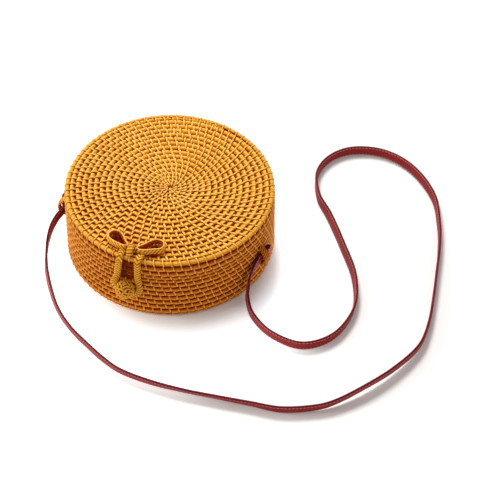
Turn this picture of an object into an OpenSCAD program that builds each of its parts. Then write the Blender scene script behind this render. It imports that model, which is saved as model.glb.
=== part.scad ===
// A round, lidded shoulder bag of coiled cane, lying on its back.
// It stands on z = 0 with its base centred on the origin. The bow and the
// ball are at the front, towards -Y, and the lid's lashing is at +Y.

/* [Bag] */
// Outer diameter of the round bag
bag_d = 200; // [180:5:230]
// Overall height of the bag, lid included
bag_h = 72; // [68:1:90]
// Height of the lid half
lid_h = 21; // [18:1:25]
// Gap between the two rims when the bag is shut
seam_gap = 0.4; // [0.3:0.1:0.8]

/* [Coiled wall] */
// Thickness of the coiled wall
wall_t = 4.6; // [4:0.2:6]
// Height that one coil row aims at
row_pitch = 5.9; // [5:0.1:7]
// Depth of the groove between two rows
groove_depth = 1.2; // [0.6:0.1:1.6]
// Height of the plain coil on each rim and each outer edge
rim_h = 4.2; // [3.6:0.2:5]
// Rounding of the outer edges
edge_r = 2.6; // [1.8:0.2:2.8]

/* [Lining] */
// Thickness of the cloth lining
lining_t = 0.8; // [0.5:0.1:1.4]
// Gap between the lining and the wall
lining_gap = 0.2; // [0.1:0.1:0.4]
// How far the lining stays back from each rim
lining_back = 1.5; // [0.5:0.5:4]

/* [Side loops] */
// Angle of the left loop, round from the front
loop_left_angle = 75; // [65:1:95]
// Angle of the right loop, round from the front
loop_right_angle = 80; // [65:1:95]
// Drop from the lower rim to a loop's middle
loop_drop = 16.6; // [16:0.2:20]
// Inner radius of a loop's arch
loop_in_r = 8.5; // [8:0.5:10]
// Thickness of the wrapped cane of a loop
loop_t = 2.8; // [2:0.2:4]
// Width of the wrapped cane of a loop
loop_w = 8; // [6:0.5:10]
// How far the arch's centre lies behind the wall's face
loop_sink = 2; // [1:0.5:3]
// Diameter of the cane ends that go through the wall
loop_end_d = 2.4; // [1.6:0.2:2.8]

/* [Strap] */
// Width of the leather strap
strap_w = 10; // [8:0.5:11]
// Thickness of the leather strap
strap_t = 2.4; // [1.6:0.2:3]
// Gap between the wall and the strap in its loops
strap_gap = 1.7; // [1:0.1:2]
// Length of the folded end that stops the strap at a loop
stop_l = 7.5; // [5:0.5:12]
// Height of the folded end
stop_w = 12; // [11:0.5:14]
// Thickness of the folded end
stop_t = 5; // [4:0.2:6]

/* [Closure] */
// Diameter of the woven ball
ball_d = 18; // [14:1:20]
// Drop from the lower rim to the ball's middle
ball_drop = 10.1; // [9:0.1:15]
// Gap between the ball and the wall
ball_gap = 1.2; // [0.6:0.1:3]
// Diameter of the cane that holds the ball
ball_stem_d = 4; // [2.5:0.5:6]
// Width of the wrapped cane of the closure loop
closure_w = 6.3; // [5:0.1:7]
// Thickness of the wrapped cane of the closure loop
closure_t = 3.4; // [2.4:0.2:4]
// Gap between the closure loop and the wall
closure_gap = 0.3; // [0.3:0.1:0.6]
// Gap between the closure loop's two legs at the edge of the lid
closure_neck = 11.5; // [9:0.5:12]
// Gap between the closure loop and the ball that it passes over
closure_slack = 0.8; // [0.6:0.1:1.5]

/* [Bow] */
// Height of the bow's standing bands
bow_h = 7; // [5:0.5:9]
// Thickness of the bow's bands
bow_t = 2.6; // [2:0.2:3.4]
// How far the middle of the bow's knot lies in from the edge
knot_in = 8; // [8:0.5:16]
// Width of the knot
knot_w = 8.2; // [7:0.2:8.4]
// Depth of the knot from front to back
knot_d = 12; // [8:0.5:13]
// How far the knot stands above the bands
knot_proud = 1; // [0:0.5:3]
// Diameter of the cane tail that ties the knot to the lid
knot_tail_d = 3; // [2:0.5:4]
// Distance from the knot to the middle of a bow loop's round end
bow_reach = 20; // [17:0.5:26]
// Radius of a bow loop's round end
bow_end_r = 8; // [6:0.5:10]
// Radius of a bow loop where it leaves the knot
bow_root_r = 3.4; // [3:0.2:4.4]
// How far the left loop's round end lies back from the knot
bow_left_back = 9.5; // [6:0.5:14]
// How far the right loop's round end lies back from the knot
bow_right_back = 13; // [6:0.5:15]

/* [Hinge] */
// Diameter of the cane rod that the lid turns on
hinge_rod_d = 3; // [2:0.2:4]
// Wall of the lashing round the rod
hinge_wrap_t = 2; // [1.4:0.2:3]
// Length of each lashing along the rod
hinge_wrap_l = 8.6; // [6:0.2:14]
// Thickness of a lashing's flat tail on the wall
hinge_tail_t = 2.1; // [1.4:0.1:3]
// Length of a lashing's flat tail, measured from the rod
hinge_tail_l = 10; // [8:0.5:12]
// Diameter of the lashing's ends that go through the wall
hinge_end_d = 1.8; // [1.2:0.2:2.4]

/* [Clearances] */
// Gap between pieces that rest on each other
seat_gap = 0.2; // [0.1:0.1:0.3]
// Gap between pieces that move past each other
run_gap = 0.3; // [0.3:0.1:0.5]
// Gap round a cane end in its hole, all round
hole_gap = 0.1; // [0.05:0.05:0.2]
// Gap round the hinge rod, all round
rod_gap = 0.05; // [0.02:0.01:0.1]

/* [Hidden] */
$fn = 96;
bag_r = bag_d / 2;
body_h = bag_h - lid_h - seam_gap;
cut = 1;

// A row of the coil, from the lip that it leans out to, up to the groove behind it:
// [place across the row, depth in the groove], as shares
row_shares = [[0, 1], [0.04, 0.1], [0.12, 0], [0.62, 0.4], [0.76, 1]];
last_share = len(row_shares) - 1;
function from_groove() = [for (i = [last_share : -1 : 0])
    [1 - row_shares[i][0], row_shares[i][1]]];
// The round shoulder of the coil at each outer edge
shoulder_shares = [[0.14, 0.35], [0.3, 0]];
disc_r = bag_r - rim_h - groove_depth;
disc_rows = round(disc_r / row_pitch);
disc_pitch = disc_r / disc_rows;
edge_w = bag_r - disc_r;
loop_z = body_h - loop_drop;
ball_z = body_h - ball_drop;
knot_y = bag_r - knot_in;

function wall_rows(h) = round((h - 2 * rim_h) / row_pitch);
function wall_pitch(h) = (h - 2 * rim_h) / wall_rows(h);

// The cup's outline in [radius, height], from its middle to its rim and back
disc_depth = groove_depth + row_pitch / 10;
function edge_line() = concat(
    [[0, disc_depth], [disc_r, disc_depth]],
    [for (s = shoulder_shares) [disc_r + edge_w * s[0], groove_depth * s[1]]],
    [for (a = [-90 : 22.5 : 0])
        [bag_r - edge_r + edge_r * cos(a), edge_r + edge_r * sin(a)]],
    [[bag_r, rim_h * (1 - shoulder_shares[1][0])],
        [bag_r - groove_depth * shoulder_shares[0][1],
            rim_h * (1 - shoulder_shares[0][0])]]);
function wall_line(h, shares) = concat(
    [for (i = [0 : wall_rows(h) - 1], s = shares)
        [bag_r - groove_depth * s[1], rim_h + wall_pitch(h) * (i + s[0])]],
    [[bag_r - groove_depth, h - rim_h], [bag_r - wall_t, h - rim_h],
        [bag_r - wall_t, wall_t], [0, wall_t]]);

// The disc is one coil wound in a spiral, here in steps of an eighth of a turn.
// A step's rows are [radius of the row's inner side, width of the row]
spiral_steps = 8;
step_angle = 360 / spiral_steps;
function step_rows(step) = [for (n = [1 : disc_rows + 1])
    let (from = disc_pitch * (n - 0.5 - (step + 0.5) / spiral_steps),
        wide = min(disc_pitch, disc_r - from))
    if (from > disc_pitch / 2 && wide > disc_pitch / 3) [from, wide]];
module disc_step(step)
    rotate_extrude(angle = step_angle)
        polygon(concat(
            [[0, 2 * disc_depth], [0, 0], [step_rows(step)[0][0], 0]],
            [for (row = step_rows(step), s = from_groove())
                [row[0] + row[1] * s[0], groove_depth * s[1]]],
            [[disc_r + groove_depth / 4, groove_depth],
                [disc_r + groove_depth / 4, 2 * disc_depth]]));

module cup(h, shares) {
    rotate_extrude() polygon(concat(edge_line(), wall_line(h, shares)));
    for (step = [0 : spiral_steps - 1]) rotate([0, 0, step * step_angle]) disc_step(step);
}

// A plain coil: a ring of rounded section, from height z up
rim_corner_shares = [[0, 0.3], [0.1, 0.1], [0.3, 0], [0.7, 0], [0.9, 0.1], [1, 0.3],
    [1, 0.7], [0.9, 0.9], [0.7, 1], [0.3, 1], [0.1, 0.9], [0, 0.7]];
module rim_coil(z)
    rotate_extrude()
        polygon([for (s = rim_corner_shares)
            [bag_r - wall_t + wall_t * s[0], z + rim_h * s[1]]]);

module lining_cup(h) {
    out_r = bag_r - wall_t - lining_gap;
    base = wall_t + lining_gap;
    rotate_extrude()
        polygon([[0, base], [out_r, base], [out_r, h - lining_back],
            [out_r - lining_t, h - lining_back],
            [out_r - lining_t, base + lining_t], [0, base + lining_t]]);
}

module from_lid() translate([0, 0, bag_h]) mirror([0, 0, 1]) children();

// Turned to face outwards at an angle round from the front
module at_side(angle) rotate([0, 0, angle - 90]) children();

// A round rod along X, from its start outwards
module rod(x, z, d, l) translate([x, 0, z]) rotate([0, 90, 0]) cylinder(d = d, h = l);

// Side loops
loop_mid_r = loop_in_r + loop_t / 2;
loop_centre = bag_r - loop_sink;
loop_end_z = sqrt(loop_mid_r * loop_mid_r - loop_sink * loop_sink);
loop_corner = loop_t / 4;
loop_section_shares = [[0, 0.5], [0.5, 1], [1, 0.5], [0.5, 0]];

module loop_ends(d)
    for (side = [-1, 1])
        rod(bag_r - wall_t, loop_z + side * loop_end_z, d, wall_t + loop_t / 2);

module loop_section()
    polygon([[loop_in_r, loop_corner - loop_w / 2],
        [loop_in_r + loop_corner, -loop_w / 2],
        [loop_in_r + loop_t - loop_corner, -loop_w / 2],
        [loop_in_r + loop_t, loop_corner - loop_w / 2],
        [loop_in_r + loop_t, loop_w / 2 - loop_corner],
        [loop_in_r + loop_t - loop_corner, loop_w / 2],
        [loop_in_r + loop_corner, loop_w / 2],
        [loop_in_r, loop_w / 2 - loop_corner]]);

module side_loop(angle)
    at_side(angle) {
        difference() {
            translate([loop_centre, 0, loop_z]) rotate([90, 0, 0])
                rotate_extrude() loop_section();
            translate([0, 0, loop_z - bag_r])
                cylinder(r = bag_r + seat_gap, h = bag_d, $fn = 192);
        }
        difference() {
            loop_ends(loop_end_d);
            translate([loop_centre, loop_w, loop_z]) rotate([90, 0, 0])
                cylinder(r = loop_in_r, h = loop_w * 2);
        }
    }

// Strap: its middle line, [x, y, z, lean of its upper edge to the left in degrees]
strap_r = bag_r + strap_gap + strap_t / 2;
strap_through = loop_w / 2 + run_gap + strap_t / 4;
function beside(angle, along) = [
    strap_r * cos(angle - 90) - along * sin(angle - 90),
    strap_r * sin(angle - 90) + along * cos(angle - 90), loop_z, 0];

// The route's places are given for a bag of this diameter with its loops at this height
route_bag_d = 200;
route_loop_z = 34;
floor_z = 9;
floor_route = [
    [-101, -42, 31, 0], [-103, -53, 23, 0], [-101, -67, 13, 4], [-93, -86, 6.5, 8],
    [-77, -110, 5.3, 5], [-60, -130, 5.3, -4], [-40, -146, 5.3, -9],
    [-19, -158, 5.3, -9], [3, -169, 5.3, -10], [24, -176, 5.3, -16],
    [54, -178, 5.3, -19], [86, -176, 5.3, -27], [117, -172, 5.3, -27],
    [147, -168, 5.3, -22], [177, -164, 5.3, -12], [205, -151, 5.8, -13],
    [221, -138, 7, -16], [240, -113, 8.5, -17], [257, -83, 7.5, -13],
    [269, -49, 6, -10], [269, -19, 5.3, -4], [263, 14, 5.3, 0], [255, 48, 5.3, 0],
    [248, 76, 5.3, -4], [238, 106, 5.3, -8], [220, 142, 5.3, -13],
    [189, 170, 5.3, -15], [156, 181, 5.3, -8], [125, 174, 5.3, -3],
    [107, 155, 5.3, 0], [103, 129, 5.3, -2], [115, 101, 5.3, 10],
    [134, 80, 5.3, 20], [160, 47, 5.3, 20], [184, 13, 5.3, 18], [197, -25, 5.3, 10],
    [191, -63, 5.3, 4], [168, -85, 5.3, 0], [137, -83, 5.3, 0], [113, -69, 5.3, -3],
    [101, -54, 8, -8], [98, -45, 17, -16], [98, -38, 27, -14]];
function fitted(p) = [p[0] * bag_d / route_bag_d, p[1] * bag_d / route_bag_d,
    p[2] < floor_z ? p[2] : floor_z + (p[2] - floor_z) * (loop_z - floor_z)
        / (route_loop_z - floor_z), p[3]];
route = concat(
    [beside(-loop_left_angle, -strap_through), beside(-loop_left_angle, strap_through)],
    [for (p = floor_route) fitted(p)],
    [beside(loop_right_angle, -strap_through), beside(loop_right_angle, strap_through)]);

strap_section_shares = [[1, 0.4], [0.9, 1], [-0.9, 1], [-1, 0.4],
    [-1, -0.4], [-0.9, -1], [0.9, -1], [1, -0.4]];
strap_sides = len(strap_section_shares);

function unit(v) = v / norm(v);
function spline(a, b, c, d, t) = 0.5 * (2 * b + (c - a) * t
    + (2 * a - 5 * b + 4 * c - d) * t * t + (3 * b - a - 3 * c + d) * t * t * t);
function route_at(i) = i < 0 ? 2 * route[0] - route[1]
    : i >= len(route) ? 2 * route[len(route) - 1] - route[len(route) - 2] : route[i];
function bends(i) = i > 0 && i < len(route) - 2;
strap_line = [for (i = [0 : len(route) - 1])
    each bends(i) && (i % 4 > 0)
        ? [for (t = [0, 0.5]) spline(route_at(i - 1), route_at(i),
            route_at(i + 1), route_at(i + 2), t)]
        : [route[i]]];
strap_rings = len(strap_line);

function place(i) = [for (k = [0 : 2]) strap_line[i][k]];
function heading(i) =
    unit(place(min(i + 1, strap_rings - 1)) - place(max(i - 1, 0)));
function strap_ring(i) =
    let (t = heading(i), left = unit(cross([0, 0, 1], t)), rise = cross(t, left),
        lean = strap_line[i][3],
        wide = cos(lean) * rise + sin(lean) * left,
        thick = cos(lean) * left - sin(lean) * rise)
    [for (s = strap_section_shares)
        place(i) + wide * strap_w / 2 * s[0] + thick * strap_t / 2 * s[1]];

module swept_strap()
    polyhedron(
        [for (i = [0 : strap_rings - 1]) each strap_ring(i)],
        concat(
            [[for (k = [0 : strap_sides - 1]) k]],
            [for (i = [0 : strap_rings - 2], k = [0 : strap_sides - 1])
                let (a = i * strap_sides + k,
                    b = i * strap_sides + (k + 1) % strap_sides)
                each [[a, a + strap_sides, b], [b, a + strap_sides, b + strap_sides]]],
            [[for (k = [strap_sides - 1 : -1 : 0])
                (strap_rings - 1) * strap_sides + k]]));

// The strap's folded end, past its loop. side is 1 where that is anticlockwise
stop_round = stop_t / 4;
module strap_stop(angle, side)
    at_side(angle)
        translate([strap_r + (stop_t - strap_t) / 2 - seat_gap,
                side * (strap_through + stop_l / 2), loop_z])
            rotate([90, 0, 0])
                linear_extrude(height = stop_l, center = true)
                    polygon([for (x = [-1, 1], y = [-x, x])
                        let (in_x = stop_t / 2 - stop_round,
                            in_y = stop_w / 2 - stop_round)
                        each y == -x
                            ? [[x * in_x, y * stop_w / 2], [x * stop_t / 2, y * in_y]]
                            : [[x * stop_t / 2, y * in_y], [x * in_x, y * stop_w / 2]]]);

// Ball and its stem
ball_y = bag_r + ball_gap + ball_d / 2;
stem_depth = ball_d / 4;
module stem(d)
    rotate([0, 0, -90])
        rod(bag_r - wall_t, ball_z, d, wall_t + ball_gap + stem_depth);

// Closure loop: it turns on an axis in the middle of its own thickness
closure_y = bag_r + closure_gap + closure_t / 2;
closure_top = bag_h - edge_r;
closure_axis_z = closure_top - closure_t / 2 - run_gap;
closure_end_r = ball_d / 2 + closure_slack + closure_w / 2;
closure_end_z = ball_z - ball_gap - closure_slack;
closure_neck_x = (closure_neck + closure_w) / 2;

// A leg's middle line, from the round end up to the axis: [rise, spread], as shares
leg_shares = [[0, 1], [0.12, 0.97], [0.29, 0.47], [0.42, 0.3], [0.7, 0.1], [1, 0]];
closure_leg = [for (s = leg_shares)
    [closure_neck_x + (closure_end_r - closure_neck_x) * s[1],
        closure_end_z + (closure_axis_z - closure_end_z) * s[0]]];
module closure_outline() {
    difference() {
        translate([0, closure_end_z]) circle(r = closure_end_r + closure_w / 2);
        translate([0, closure_end_z]) circle(r = closure_end_r - closure_w / 2);
        translate([-bag_r, closure_end_z]) square([bag_d, bag_h]);
    }
    for (side = [-1, 1])
        polygon([for (p = closure_leg) [side * (p[0] - closure_w / 2), p[1]],
            for (i = [len(closure_leg) - 1 : -1 : 0])
                [side * (closure_leg[i][0] + closure_w / 2), closure_leg[i][1]]]);
}

// The part of the closure that lies over the edge of the lid
shoulder_in_r = edge_r + closure_gap;
module shoulder_profile()
    difference() {
        union() {
            translate([bag_r - edge_r, closure_top])
                intersection() {
                    circle(r = shoulder_in_r + closure_t);
                    square(shoulder_in_r + closure_t);
                }
            translate([shoulder_back, closure_top])
                square([bag_r - edge_r - shoulder_back, shoulder_in_r + closure_t]);
        }
        translate([bag_r - edge_r, closure_top]) circle(r = shoulder_in_r);
        translate([shoulder_back - cut, closure_top - cut])
            square([bag_r - edge_r - shoulder_back + cut, shoulder_in_r + cut]);
        translate([closure_y, closure_axis_z]) circle(r = closure_t / 2 + run_gap);
    }

// Bow
bow_z = bag_h + seat_gap;
bow_root_x = knot_w / 2 + seat_gap + bow_root_r;
bow_root = [bow_root_x, knot_d / 4 - knot_y];
shoulder_back = bow_root_r + seat_gap - bow_root[1];

// Two round ends and the flat bands that run from one to the other
module bow_outline(back, inset)
    hull() {
        translate(bow_root) circle(r = bow_root_r - inset, $fn = 32);
        translate([bow_reach, back - knot_y]) circle(r = bow_end_r - inset, $fn = 48);
    }
module bow_loop(back)
    translate([0, 0, bow_z])
        linear_extrude(height = bow_h)
            difference() {
                bow_outline(back, 0);
                bow_outline(back, bow_t);
            }

// Hinge
hinge_wrap_r = hinge_rod_d / 2 + hinge_wrap_t;
hinge_y = bag_r + run_gap + seat_gap + hinge_wrap_r;
hinge_z = body_h + seam_gap / 2;
hinge_step = hinge_wrap_l + run_gap;
hinge_end_gap = hinge_wrap_l / 4;
hinge_end_z = hinge_tail_l - hinge_end_d;

// One lashing, its tail pointing up: a sleeve on the rod and a tail on the wall
module lashing(x) translate([x, hinge_y, hinge_z]) {
    difference() {
        union() {
            rotate([0, 90, 0])
                cylinder(r = hinge_wrap_r, h = hinge_wrap_l, center = true);
            translate([-hinge_wrap_l / 2, bag_r + seat_gap - hinge_y, seam_gap])
                cube([hinge_wrap_l, hinge_tail_t, hinge_tail_l - seam_gap]);
        }
        rotate([0, 90, 0])
            cylinder(d = hinge_rod_d + 2 * rod_gap, h = hinge_wrap_l + cut, center = true);
    }
}
module lashing_ends(x, d)
    for (side = [-1, 1])
        translate([x + side * hinge_end_gap, bag_r - wall_t, hinge_z + hinge_end_z])
            rotate([-90, 0, 0])
                cylinder(d = d, h = wall_t + seat_gap + hinge_tail_t / 2);
module under_seam() translate([0, 0, 2 * hinge_z]) mirror([0, 0, 1]) children();

module body_shell()
    color([0.78, 0.5, 0.2])
        difference() {
            mirror([0, 1, 0]) cup(body_h, row_shares);
            for (angle = [-loop_left_angle, loop_right_angle])
                at_side(angle) loop_ends(loop_end_d + 2 * hole_gap);
            stem(ball_stem_d + 2 * hole_gap);
            under_seam()
                for (side = [-1, 1])
                    lashing_ends(side * hinge_step, hinge_end_d + 2 * hole_gap);
        }

module body_rim() color([0.85, 0.56, 0.24]) rim_coil(body_h - rim_h);

module body_lining() color([0.74, 0.66, 0.52]) lining_cup(body_h);

module lid_shell()
    color([0.8, 0.52, 0.21])
        difference() {
            from_lid() cup(lid_h, from_groove());
            lashing_ends(0, hinge_end_d + 2 * hole_gap);
            translate([0, -knot_y, bag_h - wall_t - cut])
                cylinder(d = knot_tail_d + 2 * hole_gap, h = wall_t + 2 * cut);
        }

module lid_rim() color([0.85, 0.56, 0.24]) from_lid() rim_coil(lid_h - rim_h);

module lid_lining() color([0.74, 0.66, 0.52]) from_lid() lining_cup(lid_h);

module side_loop_left() color([0.84, 0.56, 0.22]) side_loop(-loop_left_angle);

module side_loop_right() color([0.84, 0.56, 0.22]) side_loop(loop_right_angle);

module strap() color([0.5, 0.13, 0.14]) swept_strap();

module strap_stop_left() color([0.42, 0.1, 0.11]) strap_stop(-loop_left_angle, -1);

module strap_stop_right() color([0.42, 0.1, 0.11]) strap_stop(loop_right_angle, 1);

module ball_button()
    color([0.82, 0.6, 0.25])
        difference() {
            translate([0, -ball_y, ball_z]) sphere(d = ball_d);
            stem(ball_stem_d + 2 * hole_gap);
        }

module ball_stem() color([0.8, 0.55, 0.25]) stem(ball_stem_d);

module closure_shoulders()
    color([0.84, 0.58, 0.24])
        for (side = [-1, 1])
            translate([side * closure_neck_x - closure_w / 2, 0, 0])
                rotate([90, 0, 90])
                    mirror([1, 0, 0])
                        linear_extrude(height = closure_w) shoulder_profile();

module closure_loop()
    color([0.84, 0.58, 0.24]) {
        translate([0, closure_t / 2 - closure_y, 0])
            rotate([90, 0, 0])
                linear_extrude(height = closure_t) closure_outline();
        for (side = [-1, 1])
            translate([side * closure_neck_x, -closure_y, closure_axis_z])
                rotate([0, 90, 0])
                    cylinder(d = closure_t, h = closure_w, center = true);
    }

module bow_knot()
    color([0.82, 0.56, 0.22]) {
        translate([-knot_w / 2, -knot_y - knot_d / 2, bow_z])
            cube([knot_w, knot_d, bow_h + knot_proud]);
        translate([0, -knot_y, bag_h - wall_t])
            cylinder(d = knot_tail_d, h = wall_t + bow_h / 2);
    }

module bow_loop_left()
    color([0.86, 0.6, 0.25]) mirror([1, 0, 0]) bow_loop(bow_left_back);

module bow_loop_right() color([0.86, 0.6, 0.25]) bow_loop(bow_right_back);

module hinge_rod()
    color([0.75, 0.5, 0.22])
        translate([0, hinge_y, hinge_z]) rotate([0, 90, 0])
            cylinder(d = hinge_rod_d, h = 3 * hinge_wrap_l + 4 * run_gap, center = true);

module hinge_lashing_body()
    color([0.8, 0.54, 0.22])
        under_seam()
            for (side = [-1, 1]) {
                lashing(side * hinge_step);
                lashing_ends(side * hinge_step, hinge_end_d);
            }

module hinge_lashing_lid()
    color([0.8, 0.54, 0.22]) {
        lashing(0);
        lashing_ends(0, hinge_end_d);
    }

body_shell();
body_rim();
body_lining();
lid_shell();
lid_rim();
lid_lining();
side_loop_left();
side_loop_right();
strap();
strap_stop_left();
strap_stop_right();
ball_button();
ball_stem();
closure_shoulders();
closure_loop();
bow_knot();
bow_loop_left();
bow_loop_right();
hinge_rod();
hinge_lashing_body();
hinge_lashing_lid();
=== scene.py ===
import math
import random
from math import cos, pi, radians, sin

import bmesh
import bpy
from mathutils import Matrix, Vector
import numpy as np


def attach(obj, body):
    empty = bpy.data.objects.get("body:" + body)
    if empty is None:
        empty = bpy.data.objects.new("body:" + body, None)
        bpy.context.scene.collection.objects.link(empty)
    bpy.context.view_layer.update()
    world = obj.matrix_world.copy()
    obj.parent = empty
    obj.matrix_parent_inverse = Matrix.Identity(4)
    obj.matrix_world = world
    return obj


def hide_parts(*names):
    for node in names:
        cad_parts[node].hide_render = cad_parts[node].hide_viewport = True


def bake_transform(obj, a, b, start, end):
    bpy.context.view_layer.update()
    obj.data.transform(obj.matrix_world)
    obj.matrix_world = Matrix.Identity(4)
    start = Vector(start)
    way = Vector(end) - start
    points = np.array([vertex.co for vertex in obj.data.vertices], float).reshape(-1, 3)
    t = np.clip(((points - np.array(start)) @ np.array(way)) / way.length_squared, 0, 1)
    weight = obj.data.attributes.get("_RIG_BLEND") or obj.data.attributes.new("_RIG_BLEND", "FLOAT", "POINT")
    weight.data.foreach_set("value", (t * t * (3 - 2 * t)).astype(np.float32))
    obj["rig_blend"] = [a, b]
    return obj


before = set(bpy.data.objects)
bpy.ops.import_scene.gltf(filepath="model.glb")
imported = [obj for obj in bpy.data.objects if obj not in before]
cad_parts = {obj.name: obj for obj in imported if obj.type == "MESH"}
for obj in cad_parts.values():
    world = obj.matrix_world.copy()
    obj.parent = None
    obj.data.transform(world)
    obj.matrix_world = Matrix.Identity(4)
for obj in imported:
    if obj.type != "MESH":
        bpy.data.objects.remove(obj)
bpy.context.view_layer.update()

# %% [markdown]
# # A round bag of coiled cane with a leather strap
#
# The bag is a flat drum of cane that lies on its back. A long coil of reed is
# sewn to itself with narrow split cane, in rings on the wall and in a spiral
# on the discs. A bow, a ball and a loop close it in front, and a narrow
# leather strap runs from one side loop to the other across the floor.
#
# All sizes are in millimetres in the recipes below, and one helper turns them
# into Blender's metres. Z points up out of the lid and -Y towards the bow.

MM = 0.001
UP = Vector((0, 0, 1))
chance = random.Random(71)

BAG_R = 100.0
BAG_H = 72.0
BODY_H = 50.6
LID_Z = 51.0
WALL_T = 4.6
RIM_H = 4.2
EDGE_R = 2.6
DISC_R = 94.6
DISC_ROWS = 16
DISC_PITCH = DISC_R / DISC_ROWS


def mm(x, y, z):
    return Vector((x, y, z)) * MM


def clamp(value, low=0.0, high=1.0):
    return max(low, min(high, value))


def about(spread):
    """A little unevenness, to either side."""
    return chance.uniform(-spread, spread)


def placed(spot, x, y, z):
    """The matrix that lays a template at a spot with its axes along x, y and z."""
    return Matrix.Translation(spot) @ Matrix((x, y, z)).transposed().to_4x4()


# %% [markdown]
# ## The camera
#
# The photograph looks down at the bag from a little right of the front, from
# well away, so the drum's sides hardly converge. A long lens far off gives
# that flat look. The camera comes first because every later choice is judged
# through it.

# %% Camera
LENS = 193.4
CAMERA_AT = mm(690.6, -1562.8, 1827.8)
CAMERA_AIM = mm(62.7, 23.1, 0.0)

camera_data = bpy.data.cameras.new("camera")
camera_data.lens = LENS
camera_data.sensor_width = 36.0
camera_data.clip_end = 20.0
camera = bpy.data.objects.new("camera", camera_data)
bpy.context.scene.collection.objects.link(camera)
camera.location = CAMERA_AT
camera.rotation_mode = "QUATERNION"
camera.rotation_quaternion = (CAMERA_AIM - CAMERA_AT).to_track_quat("-Z", "Y")
bpy.context.scene.camera = camera
print("camera stands", round((CAMERA_AIM - CAMERA_AT).length, 3), "m from the bag")

# %% [markdown]
# ## Helpers for meshes
#
# A bmesh is Blender's own workbench for meshes. Each piece below is built in
# one, then put in an object that sits at the origin with its place in its
# mesh. A float layer called shade keeps a random tone for each stitch, so
# that no two strips of cane have quite the same colour.


# %% From a bmesh to a piece
def new_bmesh():
    bm = bmesh.new()
    bm.verts.layers.float.new("shade")
    bm.verts.layers.float_vector.new("lay")
    return bm


def as_mesh(bm, name):
    mesh = bpy.data.meshes.new(name)
    bm.to_mesh(mesh)
    bm.free()
    return mesh


def make_piece(bm, name, materials, smooth=True, outward=False):
    """Ends a bmesh. outward turns its faces to the outside first."""
    if outward:
        bmesh.ops.recalc_face_normals(bm, faces=bm.faces[:])
    mesh = as_mesh(bm, name)
    for material in materials:
        mesh.materials.append(material)
    if smooth:
        mesh.polygons.foreach_set("use_smooth", [True] * len(mesh.polygons))
    piece = bpy.data.objects.new(name, mesh)
    bpy.context.scene.collection.objects.link(piece)
    print(name, len(mesh.polygons), "faces")
    return piece


# %% A band that follows a line
def sweep(bm, line, wide, section, notes, closed=False, tones=None):
    """Extrudes an outline of (across, out, ahead) points along a line, ring by ring.

    wide says which way the width points, and notes and tones what the materials read."""
    count = len(line)
    lay = bm.verts.layers.float_vector["lay"]
    shade = bm.verts.layers.float["shade"]
    rings = []
    edges = None
    for i, centre in enumerate(line):
        before = line[i - 1] if i or closed else centre
        after = line[(i + 1) % count] if i + 1 < count or closed else centre
        ahead = (after - before).normalized()
        across = (wide[i] - ahead * wide[i].dot(ahead)).normalized()
        out = ahead.cross(across)
        outline = section(i)
        places = [centre + across * a + out * b + ahead * c for a, b, c in outline]
        if edges is None:
            verts = [bm.verts.new(place) for place in places]
            edges = [bm.edges.new((verts[k - 1], verts[k])) for k in range(len(verts))]
        else:
            made = bmesh.ops.extrude_edge_only(bm, edges=edges)["geom"]
            old = {v: k for k, v in enumerate(rings[-1])}
            fresh = [g for g in made if isinstance(g, bmesh.types.BMVert)]
            verts = [None] * len(fresh)
            for v in fresh:
                for e in v.link_edges:
                    other = e.other_vert(v)
                    if other in old:
                        verts[old[other]] = v
            for v, place in zip(verts, places):
                v.co = place
            edges = [g for g in made if isinstance(g, bmesh.types.BMEdge)
                     and g.verts[0] in fresh and g.verts[1] in fresh]
        for k, v in enumerate(verts):
            v[lay] = notes(i, k)
            v[shade] = tones[i] if tones else 0.0
        rings.append(verts)
    if closed:
        first = [bm.edges.get((rings[0][k - 1], rings[0][k])) for k in range(len(rings[0]))]
        bmesh.ops.bridge_loops(bm, edges=first + edges)
    else:
        for ring in (rings[0], rings[-1]):
            bm.faces.new(ring)


# %% Lines with evenly spaced points
def curve_point(a, b, c, d, t):
    """A point between b and c on the smooth curve through four neighbours."""
    return [0.5 * (2 * q + (r - p) * t + (2 * p - 5 * q + 4 * r - s) * t * t
                   + (3 * q - p - 3 * r + s) * t ** 3)
            for p, q, r, s in zip(a, b, c, d)]


STEPS_BETWEEN = 12


def even_line(points, spacing, closed=False, group=1):
    """Smooths a line of tuples in mm, whose first three are x, y, z, and spaces it evenly."""
    n = len(points)
    dense = []
    for i in range(n if closed else n - 1):
        four = [points[(i + k) % n] if closed else points[min(max(i + k, 0), n - 1)]
                for k in (-1, 0, 1, 2)]
        dense += [curve_point(*four, k / STEPS_BETWEEN) for k in range(STEPS_BETWEEN)]
    dense.append(list(points[0] if closed else points[-1]))
    run = [0.0]
    for p, q in zip(dense, dense[1:]):
        run.append(run[-1] + math.dist(p[:3], q[:3]))
    count = max(group, round(run[-1] / spacing / group) * group)
    line, k = [], 0
    for i in range(count if closed else count + 1):
        at = run[-1] * i / count
        while k < len(run) - 2 and run[k + 1] < at:
            k += 1
        t = (at - run[k]) / max(run[k + 1] - run[k], 1e-9)
        line.append([p + (q - p) * t for p, q in zip(dense[k], dense[k + 1])])
    return line


print("an even line of", len(even_line([(0, 0, 0), (9, 0, 0), (9, 9, 0)], 2.0)), "points")

# %% [markdown]
# ## A kit for materials
#
# Every material is a small net of nodes that ends in Blender's own shader.


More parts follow.
